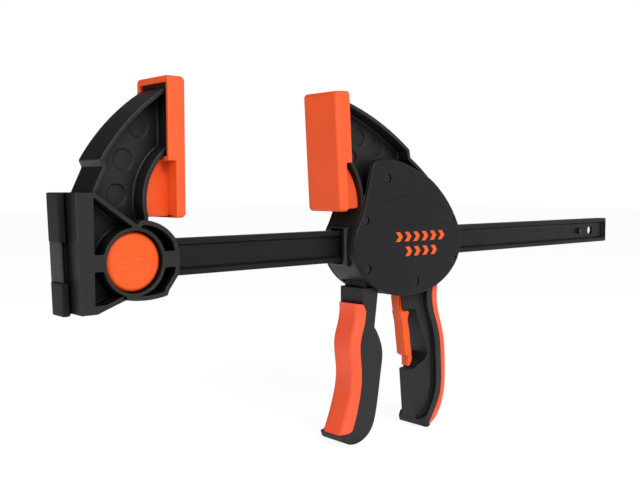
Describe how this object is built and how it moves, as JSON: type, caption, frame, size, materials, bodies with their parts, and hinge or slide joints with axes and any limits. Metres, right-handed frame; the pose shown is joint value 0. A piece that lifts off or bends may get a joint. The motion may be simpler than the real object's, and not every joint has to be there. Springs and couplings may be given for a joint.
{
  "type": "one-hand trigger bar clamp",
  "caption": "One-hand trigger bar clamp: a sliding head with squeeze trigger and release lever on an I-section bar, facing a fixed jaw with soft pads.",
  "frame": {"origin": "centre of the fixed pad's clamping face", "axes": "+X along the bar from the fixed jaw to the moving head, +Z from the bar towards the pads, +Y across the clamp, away from the push button"},
  "size_m": [0.5589, 0.0366, 0.2491],
  "materials": {
    "bar_steel": "satin black coating on rolled steel",
    "plain_steel": "oiled, lightly machined steel",
    "spring_steel": "drawn spring wire",
    "black_nylon": "fine matte texture, glass-filled nylon",
    "black_cover": "fine matte texture",
    "black_screw": "black oxide",
    "orange_pad": "soft matte moulded pad",
    "orange_grip": "soft matte overmould",
    "orange_plastic": "satin moulded plastic",
    "rail_rubber": "matte brown-black rubber"
  },
  "bodies": {
    "bar_and_fixed_jaw": {"bar": "bar_steel", "bar_stop_pin": "black_screw", "fixed_jaw_body": "black_nylon", "fixed_jaw_pad": "orange_pad", "spreader_rail_pads": "rail_rubber", "jaw_back_cap": "black_nylon", "jaw_cap_screws": "plain_steel", "button_spring": "spring_steel"},
    "push_button": {"jaw_button": "orange_plastic", "lock_carrier": "black_nylon", "lock_pin": "plain_steel"},
    "head": {"head_frame": "black_nylon", "front_cover": "black_cover", "rear_cover": "black_cover", "front_cover_screws": "black_screw", "rear_cover_screws": "black_screw", "front_bar_guide": "black_nylon", "rear_bar_guide": "black_nylon", "moving_jaw_pad": "orange_pad", "trigger_pivot_pin": "plain_steel", "release_pivot_pin": "plain_steel", "handle_grip": "orange_grip", "drive_spring": "spring_steel", "brake_spring": "spring_steel"},
    "trigger": {"trigger_lever": "black_nylon", "trigger_grip": "orange_grip"},
    "drive": {"drive_plates": "plain_steel", "spring_washer": "plain_steel"},
    "release": {"release_lever": "orange_plastic"},
    "brake": {"brake_plate": "plain_steel"}
  },
  "joints": [
    {"name": "head_slide", "type": "slide", "parent": "bar_and_fixed_jaw", "child": "head", "axis": [1, 0, 0], "range_m": [-0.117, 0.185]},
    {"name": "trigger_squeeze", "type": "hinge", "parent": "head", "child": "trigger", "pos_m": [0.16, 0, -0.04083], "axis": [0, -1, 0], "range_deg": [0, 15], "stiffness_Nm_per_rad": 0.6, "springref_deg": -11.46},
    {"name": "drive_slide", "type": "slide", "parent": "head", "child": "drive", "axis": [1, 0, 0], "range_m": [0, 0.0065], "deforming": ["drive_spring"]},
    {"name": "release_pull", "type": "hinge", "parent": "head", "child": "release", "pos_m": [0.198, 0, -0.08582], "axis": [0, -1, 0], "range_deg": [0, 5], "stiffness_Nm_per_rad": 0.4, "springref_deg": -5.73},
    {"name": "brake_tilt", "type": "hinge", "parent": "head", "child": "brake", "pos_m": [0.207, 0, -0.04482], "axis": [0, -1, 0], "range_deg": [0, 1.45], "deforming": ["brake_spring"]},
    {"name": "jaw_button_press", "type": "slide", "parent": "bar_and_fixed_jaw", "child": "push_button", "axis": [0, 1, 0], "range_m": [0, 0.005], "stiffness_N_per_m": 600, "springref_m": -0.002, "deforming": ["button_spring"]}
  ],
  "couplings": [
    {"joint": "drive_slide", "follows": "trigger_squeeze", "m_per_rad": 0.024},
    {"joint": "brake_tilt", "follows": "release_pull", "ratio": 0.28}
  ]
}
